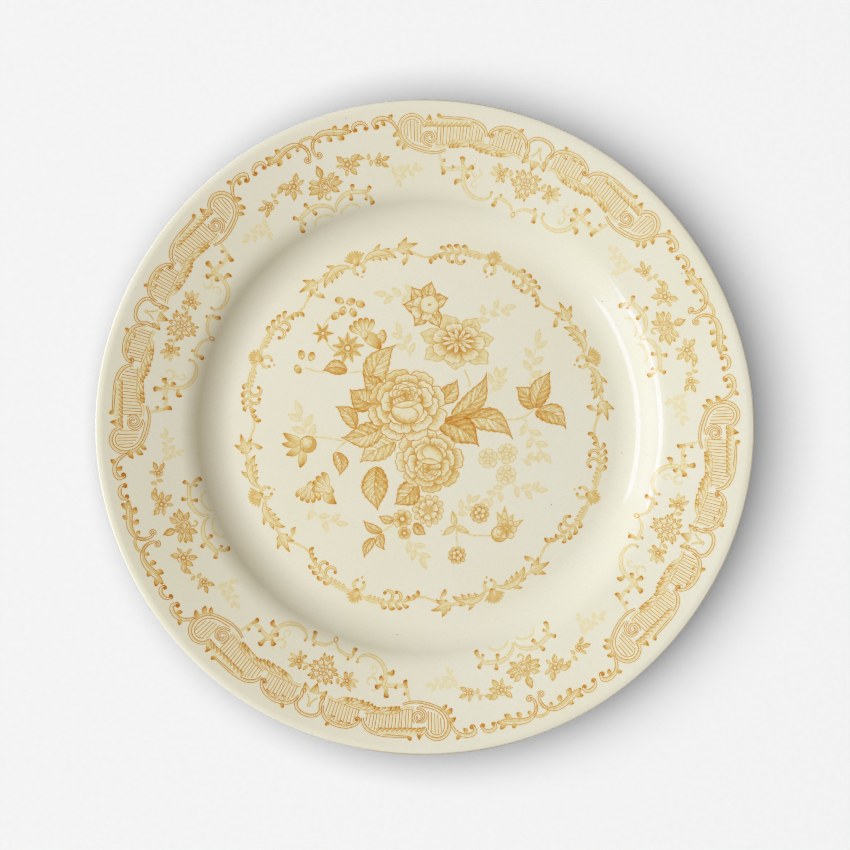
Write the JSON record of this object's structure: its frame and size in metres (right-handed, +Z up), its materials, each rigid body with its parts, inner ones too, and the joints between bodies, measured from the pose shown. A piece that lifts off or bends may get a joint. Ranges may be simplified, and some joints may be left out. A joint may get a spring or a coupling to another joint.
{
  "type": "china dinner plate",
  "caption": "Round cream china dinner plate with a wide sloping rim, a curved wall, a foot ring and an ochre transfer print of scrolls and flowers under clear glaze.",
  "frame": {"origin": "centre of the foot ring's standing edge, on the surface that the plate stands on", "axes": "+Z up along the plate's axis of revolution; +X and +Y lie in the plane of the standing edge"},
  "size_m": [0.2668, 0.2668, 0.0267],
  "materials": {
    "clay": "fired clay, matt and slightly rough",
    "glaze": "clear cream glaze, glossy",
    "print": "ochre printed ink, sealed under the glaze"
  },
  "bodies": {
    "root": {"biscuit_body": "clay", "foot_recess_glaze": "glaze", "face_glaze": "glaze", "bouquet_print": "print", "wreath_print": "print", "border_print_1": "print", "border_print_2": "print", "border_print_3": "print", "border_print_4": "print"}
  },
  "joints": []
}
